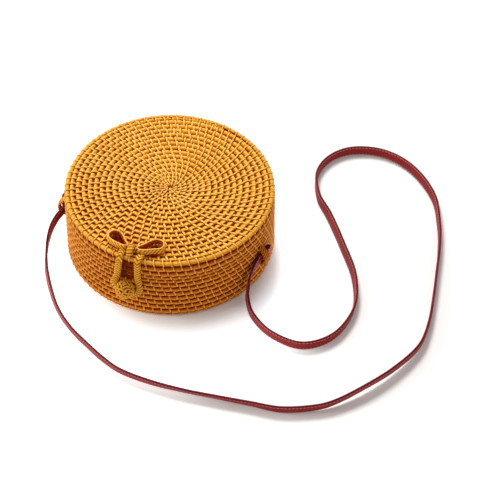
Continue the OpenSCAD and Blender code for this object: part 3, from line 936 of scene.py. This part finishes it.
# %% Weaving a disc
def on_half(under, r, a, z):
    """A point z over the lid's top, or the one that mirrors it under the base."""
    side, height = (-1, BASE_LIFT) if under else (1, BAG_H)
    return (r * cos(a) * MM, side * r * sin(a) * MM, (height + side * z) * MM)


# Inside the bow's loops the disc lies in the loops' shade, which is painted on it
BOW_ELLIPSES = ((-17.5, -84.0, radians(160)), (18.0, -83.5, radians(28)))
BOW_LONG, BOW_WIDE = 12.0, 9.0
BOW_SHARP = 2.5


def shade_in_bow(x, y):
    """How much shade is painted on the disc inside the bow's loops, which shade it. Elsewhere -1 leaves it
    as it is.
    """
    dark = -1.0
    for middle_x, middle_y, turn in BOW_ELLIPSES:
        dx, dy = x - middle_x, y - middle_y
        along = dx * cos(turn) + dy * sin(turn)
        across = dy * cos(turn) - dx * sin(turn)
        inside = 1.0 - math.hypot(along / BOW_LONG, across / BOW_WIDE)
        dark = max(dark, min(1.0, BOW_SHARP * inside))
    return dark


# How far the disc's stitches stray, inwards and along, and the pads' tops, rise and taper
DISC_IN_OFF, DISC_ALONG_OFF = 0.15, 0.45
DISC_TOP, DISC_TOP_OFF = 0.2, 0.35
DISC_RISE = -0.3, 0.15
DISC_TAPER = 0.7
DISC_LEAN_OFF = -0.14, 0.1
FLATTEST = 0.3


def disc_weave(name, under, body):
    def on_disc(u, v, w):
        """u is the angle, and v the way in from the disc's edge."""
        return on_half(under, max(DISC_R - v, 0.0), u + COIL_TURN, w)

    def painted_shade(u, v):
        x, y, _ = on_disc(u, v, 0.0)
        return -1.0 if under else shade_in_bow(x / MM, y / MM)

    weave = Weave(on_disc, lambda v: 1 / max(DISC_R - v, MIDDLE_R), DISC_KINDS, bend=True,
                  painted_shade=painted_shade)
    for a, b in zip(spiral, spiral[1:]):
        r, squeeze = coil_radius((a + b) / 2)
        if squeeze < FLATTEST:
            continue
        shades = chance.random(), chance.random()
        weave.pad(-(a + b) / 2, DISC_R - r + about(DISC_IN_OFF), (b - a) * r, squeeze,
                  DISC_LEAN, DISC_TOP + about(DISC_TOP_OFF), shades[0],
                  rise=chance.uniform(*DISC_RISE), taper=DISC_TAPER)
        weave.strand(-b + about(DISC_ALONG_OFF) / r, DISC_R - coil_radius(b)[0], squeeze,
                     DISC_LEAN + chance.uniform(*DISC_LEAN_OFF),
                     min(1.0, 0.5 + squeeze / 2) * chance.uniform(*DISC_STRAND_W), shades[1])
    weave.finish(name, body, "coiled_cane", [pad_cane, strand_cane])


disc_weave("lid_disc_weave", False, "lid")
disc_weave("base_disc_weave", True, "body")

# %% [markdown]
# ## The rows at the outer edges
#
# The coil at each outer edge is rounder and smoother than the others. Its
# strands cross the first slot of the disc, run over the edge and go in above
# the first row of the wall. It is woven from the same kinds of stitch,
# on a surface that bends round the edge.

# %% Rows round the edges
EDGE_ROUND = 2.4
EDGE_WIDE = 2.65
EDGE_LEAN = 0.2
EDGE_IN, EDGE_DOWN = 0.1, 0.2
EDGE_STITCH_OFF, EDGE_LEAN_OFF = 0.4, 0.06
EDGE_STRAND_W = 0.95, 1.15


def edge_weave(name, under, body, materials):
    def on_edge(u, v, w):
        """u is the way round at full radius, and v runs over the edge, in to the disc."""
        turn = pi / 4 + v / EDGE_ROUND
        r = BAG_R - EDGE_IN - EDGE_WIDE + (EDGE_WIDE + w) * cos(turn)
        z = -EDGE_DOWN - EDGE_ROUND + (EDGE_ROUND + w) * sin(turn)
        return on_half(under, r, u / BAG_R, z)

    weave = Weave(on_edge, lambda v: 1.0, EDGE_KINDS)
    for a, b in row_places(0.0, EDGE_STITCH_OFF):
        weave.pad((a + b) / 2, 0.0, b - a, 1.0, EDGE_LEAN, 0.0, chance.random())
        weave.strand(a, 0.0, 1.0, EDGE_LEAN + about(EDGE_LEAN_OFF),
                     chance.uniform(*EDGE_STRAND_W), chance.random())
    weave.finish(name, body, "edge_cane", materials)


edge_weave("lid_edge_weave", False, "lid", [edge_cane, strand_cane])
edge_weave("base_edge_weave", True, "body", [shaded_wall_cane, shaded_wall_strand_cane])

# %% [markdown]
# ## The plain coils
#
# The coil at the mouth of each half is bound with cane, so it is smooth. Its
# round section is spun once round the axis, with three steps to each turn of
# the binding. Every third step is drawn in a little and all are slanted, and
# that makes the turns.


# %% Bound coils at the mouths
COIL_R = 97.0
COIL_W, COIL_H = 1.9, 2.1
COIL_WRAP = 8.27
COIL_DIP = 0.2
COIL_SLANT = 0.33
COIL_SQUARE = 0.8


def rim_coil(name, middle_z, body, node):
    """COIL_W and COIL_H are half the coil's thickness and height."""
    bm = new_bmesh()
    outline = []
    for k in range(12):
        c, s = cos(pi * k / 6), sin(pi * k / 6)
        outline.append((COIL_R + COIL_W * math.copysign(abs(c) ** COIL_SQUARE, c),
                        middle_z + COIL_H * math.copysign(abs(s) ** COIL_SQUARE, s)))
    steps = 3 * round(2 * pi * COIL_R / COIL_WRAP)
    spin_outline(bm, outline, steps, closed=True)
    tones = [chance.random() for _ in range(steps // 3 + 1)]
    shade = bm.verts.layers.float["shade"]
    lay = bm.verts.layers.float_vector["lay"]
    for v in bm.verts:
        a = math.atan2(v.co.y, v.co.x) % (2 * pi)
        r, z = v.co.xy.length / MM - COIL_R, v.co.z / MM - middle_z
        number = round(a * steps / (2 * pi)) % steps
        low = number % 3 == 0
        keep = 1 - (COIL_DIP / COIL_W if low else 0)
        turn = a - COIL_SLANT * z / COIL_R + COIL_SLANT * r / COIL_R
        far = (COIL_R + r * keep) * MM
        v.co = (far * cos(turn), far * sin(turn), (middle_z + z * keep) * MM)
        v[shade] = tones[number // 3]
        # The drawn-in steps between the turns get painted shade
        v[lay] = (r + z, a * COIL_R, 0.75 if low else 0.0)
    piece = make_piece(bm, name, [shaded_wall_cane], outward=True)
    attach(piece, body)
    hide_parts(node)


rim_coil("lid_rim_coil", LID_Z + COIL_H, "lid", "lid_rim")
rim_coil("body_rim_coil", BODY_H - COIL_H, "body", "body_rim")

# %% [markdown]
# ## Wrapped bands
#
# The side loops, the closure and the bow are the same work: a flat core of
# cane wrapped closely with narrow strips that run slantwise. A helper takes a
# line with the direction that the band's face looks in, finds which way its
# width points, and sweeps a rounded flat section along it, drawn in between
# every two strips. On a plaited band the strips slant both ways from its middle.

# %% Wrapped bands
BAND = [(-1.0, 0.35), (-0.86, 0.85), (-0.45, 1.0), (0.0, 1.04), (0.45, 1.0), (0.86, 0.85),
        (1.0, 0.35)]
BAND += [(-a, -b) for a, b in BAND]
WRAP_DIP = 0.6
# How much shade is painted on each of a turn's three steps; the drawn-in one gets the most
WRAP_SHADES = (1.0, 0.0, 0.25)


def facing(line):
    """Centres and width directions of a line of (x, y, z, and the face's direction)."""
    centres = [mm(*p[:3]) for p in line]
    wide = []
    for i, p in enumerate(line):
        ahead = centres[min(i + 1, len(line) - 1)] - centres[max(i - 1, 0)]
        wide.append(ahead.normalized().cross(Vector(p[3:6])).normalized())
    return centres, wide


def band_outline(half_w, half_t, ahead=0.0):
    """The band's section in metres. Its points lie ahead by a share of their way across."""
    return [(a * half_w * MM, b * half_t * MM, ahead * a * half_w * MM) for a, b in BAND]


def wrapped_band(name, centres, wide, width, thick, slant, material, closed=False, dark_side=0,
                 plaited=False):
    """Three of the line's points make one turn of the wrapping. width is the band's at a point.

    dark_side says which face lies in the shade and paints shade on it, and plaited slants both halves alike."""
    bm = new_bmesh()
    tones = [chance.random() for _ in range(len(centres) // 3 + 1)]

    def section(i):
        dip = WRAP_DIP if i % 3 == 0 else 0.0
        half_w, half_t = width(i) / 2 - dip, thick / 2 - dip
        outline = band_outline(half_w, half_t, slant)
        return [(a, b, abs(c)) for a, b, c in outline] if plaited else outline

    def notes(i, k):
        shaded = 0.85 if BAND[k][1] * dark_side > 0.5 else 0.0
        return BAND[k][0] * width(i) / 2, i * 0.8, max(WRAP_SHADES[i % 3], shaded)

    sweep(bm, centres, wide, section, notes, closed=closed,
          tones=[tones[i // 3] for i in range(len(centres))])
    return make_piece(bm, name, [material], outward=True)


# %% [markdown]
# ## The side loops
#
# Each side of the wall has a standing arch of wrapped cane, and the strap
# runs through it. The arch is half a ring that stands out from the wall, a
# little wider in its middle, and its ends go in between two rows.

# %% Side loops
ARCH_AT = 98.0
ARCH_R = 9.9
ARCH_END_W, ARCH_SWELL, ARCH_T = 5.6, 2.6, 2.8
ARCH_STEP = radians(10.2)
ARCH_WRAP, ARCH_SLANT = 0.78, 0.45


def at_loop(angle):
    """Outwards and counter-clockwise, where a side loop stands."""
    return (Vector((cos(angle), sin(angle), 0)),
            Vector((-sin(angle), cos(angle), 0)))


# The right loop lies in shade, which its darker cane paints
for side, angle, finish in (("left", LEFT_ANGLE, loop_cane), ("right", RIGHT_ANGLE, shaded_cane)):
    outward, _ = at_loop(angle)
    points = []
    for k in range(-8, 9):
        turn = ARCH_STEP * k
        face = outward * cos(turn) + UP * sin(turn)
        points.append((*(outward * ARCH_AT + face * ARCH_R + UP * LOOP_Z), *face))
    arch = even_line(points, ARCH_WRAP, group=3)
    n = len(arch) - 1
    loop = wrapped_band("side_arch_" + side, *facing(arch),
                        lambda i: ARCH_END_W + ARCH_SWELL * sin(pi * i / n), ARCH_T,
                        ARCH_SLANT, finish)
    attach(loop, "body")
    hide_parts("side_loop_" + side)

# %% [markdown]
# ## The strap's folded ends
#
# Past each loop the strap is folded back on itself and stitched, so it is too
# thick to slip out. The fold is the strap's own outline, swept once along a
# hairpin, with two crossed threads over its outer face.

# %% Strap stops
FOLD_R, FOLD_BEND = 104.0, 1.25
FOLD_FROM, FOLD_TO = 5.1, 10.0
FOLD_STEP = 0.6
CROSS_R, CROSS_AT, CROSS_PITCH, CROSS_LEAN = 106.35, 8.0, 3.6, 0.75
half_fold = [(FOLD_R - FOLD_BEND, s) for s in (FOLD_FROM, 7.5, FOLD_TO)]
fold = half_fold + [(FOLD_R - FOLD_BEND * cos(radians(a)),
                     FOLD_TO + FOLD_BEND * sin(radians(a))) for a in range(30, 180, 30)]
fold += [(FOLD_R + FOLD_BEND, s) for _, s in half_fold[::-1]]

long_stitch = stitch.copy()
long_stitch.transform(Matrix.Diagonal((2.6, 1.3, 1.4, 1.0)))
cross_places = []
for side, angle, way in (("left", LEFT_ANGLE, -1), ("right", RIGHT_ANGLE, 1)):
    outward, along = at_loop(angle)
    along *= way
    spots = [tuple(outward * r + along * s + UP * LOOP_Z) for r, s in fold]
    hairpin = [mm(*p) for p in even_line(spots, FOLD_STEP)]
    stop = strap_piece("strap_fold_" + side, hairpin, [UP] * len(hairpin), FOLD_STEP,
                       wider=1.15, thicker=0.96)
    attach(stop, "body")
    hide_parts("strap_stop_" + side)
    for row in (-1, 0, 1):
        spot = outward * CROSS_R + along * CROSS_AT + UP * (LOOP_Z + CROSS_PITCH * row)
        for lean in (-CROSS_LEAN, CROSS_LEAN):
            a = along * cos(lean) + UP * sin(lean)
            cross_places.append((placed(spot * MM, a, outward.cross(a), outward), chance.random()))
cross_stitches = copies_of(long_stitch, cross_places, "fold_stitching", [thread])
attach(cross_stitches, "body")

# %% [markdown]
# ### The cord's facts
#
# The strap is a limp cord: it leaves the bag at one loop and goes back
# into it at the other. Its length is what the photograph shows from loop to
# loop, with the short ends inside the loops.

# %% The strap's first point, and its line, in metres
[c * MM for c in strap_line[0][:3]]
[[c * MM for c in p[:3]] for p in strap_line]

# %% [markdown]
# ## The closure loop
#
# A long wrapped loop is sewn to the lid under the bow, turns over the edge
# and hangs down the wall, where its round end passes over the ball. It is
# lifted off the ball to open the bag. One line runs down one leg, round the
# end and up the other, and the face looks outwards all the way. In the
# photograph it hangs a little to the left, so the line is tilted.

# %% Closure
END_X, END_Z, END_R, LEG_Y = -1.6, 38.5, 12.9, -102.0
BEND_Z, BEND_R = 69.4, 4.6
LEG_W, LEG_T, LEG_WRAP, LEG_SLANT = 6.5, 3.4, 1.05, 0.9
# Each leg lies on the lid first, bends over the edge, hangs and takes half of the round end
legs = []
for side, over, leg in ((-1, 8.0, [(-8.7, 66.5), (-9.8, 58.0), (-10.9, 49.5), (-12.4, 44.0)]),
                        (1, 10.0, [(10.1, 66.5), (10.0, 58.0), (10.05, 50.0), (10.5, 44.5)])):
    points = [(side * over, y, BEND_Z + BEND_R, 0, 0, 1) for y in (-90.8, -95.0)]
    points += [(side * over, LEG_Y + BEND_R * (1 - sin(a)), BEND_Z + BEND_R * cos(a),
                0, -sin(a), cos(a)) for a in (0.0, 0.55, 1.1)]
    points += [(x, LEG_Y, z, 0, -1, 0) for x, z in leg]
    points += [(END_X + side * END_R * cos(a), LEG_Y, END_Z - END_R * sin(a), 0, -1, 0)
               for a in (radians(20 * k) for k in range(5))]
    legs.append(points)
closure_line = even_line(legs[0] + legs[1][::-1], LEG_WRAP, group=3)
closure = wrapped_band("closure_band", *facing(closure_line), lambda i: LEG_W, LEG_T, LEG_SLANT,
                       loop_cane, plaited=True)
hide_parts("closure_shoulders", "closure_loop")
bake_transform(closure, "lid", "closure", mm(0, -100.0, 71.5), mm(0, -103.0, 64.0))

# %% [markdown]
# ## The ball
#
# The ball is a knot woven from one strip of cane. Its core is a sphere in
# the painted shade of the grooves, and rows of short domed pads, turned left
# and right by turns, are the places where the strip comes to the surface.

# %% Ball button
BALL = Vector((0.0, -110.2, 40.5))
BALL_R, CORE_R = 9.0, 8.1
PETAL_ROW, PETAL_LEAN = radians(20.5), radians(38)
PETAL_SINK = 0.85
PETAL_PITCH = 3.3
PETAL_SIZE = Matrix.Diagonal((2.15 * MM, 1.0 * MM, 0.85 * MM, 1.0))
STEM_Y, STEM_R, STEM_LONG = -100.6, 2.0, 10.2


def round_bar(name, centre, radius, length, axis, segments, capped):
    """A straight round cane, laid down by a quarter turn about the axis."""
    bm = new_bmesh()
    bmesh.ops.create_cone(bm, cap_ends=capped, segments=segments, radius1=radius * MM,
                          radius2=radius * MM, depth=length * MM)
    bmesh.ops.rotate(bm, cent=(0, 0, 0), matrix=Matrix.Rotation(pi / 2, 3, axis), verts=bm.verts)
    bmesh.ops.translate(bm, vec=mm(*centre), verts=bm.verts)
    return make_piece(bm, name, [coil_cane], smooth=False)


bm = new_bmesh()
bmesh.ops.create_uvsphere(bm, u_segments=32, v_segments=20, radius=CORE_R * MM)
bmesh.ops.translate(bm, vec=BALL * MM, verts=bm.verts)
ball_core = make_piece(bm, "ball_core", [shaded_groove_cane])
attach(ball_core, "body")
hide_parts("ball_button")

bm = bmesh.new()
bmesh.ops.create_uvsphere(bm, u_segments=10, v_segments=6, radius=1.0)
petal = as_mesh(bm, "petal")
petal_places = []
for row in range(-4, 5):
    tilt = PETAL_ROW * row
    count = max(3, round(2 * pi * BALL_R * cos(tilt) / PETAL_PITCH))
    for k in range(count):
        turn = 2 * pi * (k + 0.5 * (row % 2)) / count
        out = Vector((cos(turn) * cos(tilt), sin(turn) * cos(tilt), sin(tilt)))
        east = Vector((-sin(turn), cos(turn), 0))
        lean = PETAL_LEAN if (k + row) % 2 else -PETAL_LEAN
        long_way = east * cos(lean) + out.cross(east) * sin(lean)
        spot = (BALL + out * (BALL_R - PETAL_SINK)) * MM
        matrix = placed(spot, long_way, out.cross(long_way), out) @ PETAL_SIZE
        petal_places.append((matrix, chance.random()))
ball_weave = copies_of(petal, petal_places, "ball_weave", [ball_cane])
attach(ball_weave, "body")

stem = round_bar("ball_stalk", (0, STEM_Y, BALL.z), STEM_R, STEM_LONG, "X", 16, capped=False)
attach(stem, "body")
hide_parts("ball_stem")
print(len(petal_places), "pads on the ball")

# %% [markdown]
# ## The bow
#
# Two bands stand on their edges on the lid, each bent into a long loop, and a
# small wrapped arch ties them down in the middle. A plain light strip runs
# along the top edge of each band.

# %% Bow loops
BOW_Z = 75.7
BOW_W, BOW_T, BOW_WRAP, BOW_SLANT = 6.4, 2.5, 1.2, 0.8
TOP_STRIP_W, TOP_STRIP_T, TOP_STRIP_STEP = 0.55, 0.6, 2.3
bow_lines = {
    "left": [(-4.4, -90.0), (-8.5, -91.0), (-14, -90.3), (-20, -88.9), (-25.4, -86.2), (-27, -82),
             (-25, -77.6), (-20.5, -75.8), (-15.5, -77.6), (-10.5, -82.8), (-7, -86.4),
             (-4.4, -88.3)],
    "right": [(4.4, -90), (8.5, -90.8), (14, -88.8), (20, -85.4), (25.6, -82.3), (27, -78.2),
              (25, -73.6), (20.4, -72.2), (15.5, -74.2), (10.5, -80.6), (7, -85.4), (4.4, -88.2)]}
for side, spots in bow_lines.items():
    line = even_line([(x, y, BOW_Z) for x, y in spots], BOW_WRAP, closed=True, group=3)
    centres = [mm(*p) for p in line]
    band = wrapped_band("bow_band_" + side, centres, [UP] * len(centres), lambda i: BOW_W, BOW_T,
                        BOW_SLANT, bow_cane, closed=True, dark_side=1 if side == "left" else -1)
    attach(band, "lid")
    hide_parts("bow_loop_" + side)
    bm = new_bmesh()
    top = [c + UP * (BOW_W / 2 * MM) for c in centres[::3]]
    sweep(bm, top, [UP] * len(top), lambda i: band_outline(TOP_STRIP_W, TOP_STRIP_T),
          lambda i, k: (i * TOP_STRIP_STEP, BAND[k][0], 0.0), closed=True,
          tones=[0.8] * len(top))
    strip = make_piece(bm, "bow_strip_" + side, [strand_cane], outward=True)
    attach(strip, "lid")

# %% Knot
KNOT_W, KNOT_T, KNOT_STEP, KNOT_SLANT = 6.0, 2.2, 1.0, 0.3
UNDER_KNOT_X, UNDER_KNOT_Y, UNDER_KNOT_Z = -5.2, -89.5, 75.6
UNDER_KNOT_STEP, UNDER_KNOT_POINTS = 0.8, 14
UNDER_KNOT_W, UNDER_KNOT_T = 5.8, 5.6
knot_points = [(-85.6, 72.6), (-86.2, 76.0), (-88.2, 79.2), (-92, 80.0), (-95.8, 79.0),
               (-97.3, 76.8), (-97.6, 74.4)]
knot_line = even_line([(0, y, z) for y, z in knot_points], KNOT_STEP, group=3)
KNOT_MIDDLE = Vector((0, -92, 74))
faced = [(*p, *(Vector(p) - KNOT_MIDDLE).normalized()) for p in knot_line]
knot = wrapped_band("knot_arch", *facing(faced), lambda i: KNOT_W, KNOT_T, KNOT_SLANT, loop_cane)
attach(knot, "lid")
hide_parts("bow_knot")
# The core under the knot lies in shade, which its darker cane paints
core_line = [mm(UNDER_KNOT_X + UNDER_KNOT_STEP * k, UNDER_KNOT_Y, UNDER_KNOT_Z)
             for k in range(UNDER_KNOT_POINTS)]
core = wrapped_band("knot_core", core_line, [UP] * len(core_line), lambda i: UNDER_KNOT_W,
                    UNDER_KNOT_T, KNOT_SLANT, shaded_cane)
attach(core, "lid")

# %% [markdown]
# ## The lashing at the back
#
# The lid turns on a short cane rod. Flat strips go through the wall of each
# half, run down to the rod and turn round it: one group of strips from the
# lid between two groups from the body. The same line serves all of them, and
# is turned over for the body's.

# %% Hinge
HINGE_Y, HINGE_Z = 104.0, 50.8
ROD_R, ROD_LONG = 1.5, 27.0
STRIP_TURN, STRIP_PITCH, GROUP_AT = 2.55, 2.85, 8.9
STRIP_STEP, STRIP_HALF_W, STRIP_HALF_T = 0.9, 1.38, 0.85
rod = round_bar("hinge_cane", (0, HINGE_Y, HINGE_Z), ROD_R, ROD_LONG, "Y", 20, capped=True)
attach(rod, "body")
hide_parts("hinge_rod")
tail = [(98.6, 8.4), (100.6, 8.9), (101.3, 7.6), (101.35, 4.0)]
tail += [(HINGE_Y + STRIP_TURN * cos(radians(a)), STRIP_TURN * sin(radians(a)))
         for a in range(170, 500, 30)]
for body, groups, way in (("lid", (0.0,), 1), ("body", (-GROUP_AT, GROUP_AT), -1)):
    bm = new_bmesh()
    for x in [group + x for group in groups for x in (-STRIP_PITCH, 0.0, STRIP_PITCH)]:
        spots = even_line([(x, y, HINGE_Z + way * z) for y, z in tail], STRIP_STEP)
        sweep(bm, [mm(*p) for p in spots], [Vector((1, 0, 0))] * len(spots),
              lambda i: band_outline(STRIP_HALF_W, STRIP_HALF_T),
              lambda i, k: (i * STRIP_STEP, BAND[k][0] * 1.4, 0.0),
              tones=[chance.random()] * len(spots))
    lashing = make_piece(bm, "lashing_" + body, [coil_cane], outward=True)
    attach(lashing, body)
    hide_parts("hinge_lashing_" + body)

# %% [markdown]
# ## The linings
#
# Each half is lined with thin plain-woven cloth, glued at its upper edge. The
# cup is spun from a thin outline, then eased in and out a little so that it
# doesn't look like a plastic insert.


# %% Woven cloth
def cloth(name, light, dark):
    finish = Finish(name)
    colour = finish.mix(dark, light, finish.noise(25.0))
    return finish.surface(colour, 0.9, 0.5, finish.cells(700.0), 0.4, 0.0003)


lining_cloth = cloth("lining_cloth", (0.62, 0.5, 0.34), (0.48, 0.37, 0.23))


# %% Lining cups
EASE, EASE_FULL_R = 0.12, 93


def lining(name, height, node, body):
    """A cup of cloth. The outline runs out along its upper face and back along its lower one."""
    bm = new_bmesh()
    outline = [(0, 4.9), (92.5, 4.9), (94.6, 5.4), (95.1, 7.5), (95.1, height - 2.0),
               (94.8, height - 1.5), (94.3, height - 1.5), (94.2, height - 2.0), (94.2, 7.8),
               (93.6, 6.2), (92.3, 5.7), (0, 5.7)]
    spin_outline(bm, outline, 120)
    for v in bm.verts:
        a = math.atan2(v.co.y, v.co.x)
        ease = EASE + EASE * sin(7 * a + 90 * v.co.z) * sin(3 * a)
        share = min(1.0, v.co.xy.length / (EASE_FULL_R * MM))
        v.co.x -= cos(a) * ease * share * MM
        v.co.y -= sin(a) * ease * share * MM
    if body == "lid":
        turn_over(bm)
    piece = make_piece(bm, name, [lining_cloth], outward=True)
    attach(piece, body)
    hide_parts(node)


lining("body_cloth", BODY_H, "body_lining", "body")
lining("lid_cloth", BAG_H - LID_Z, "lid_lining", "lid")
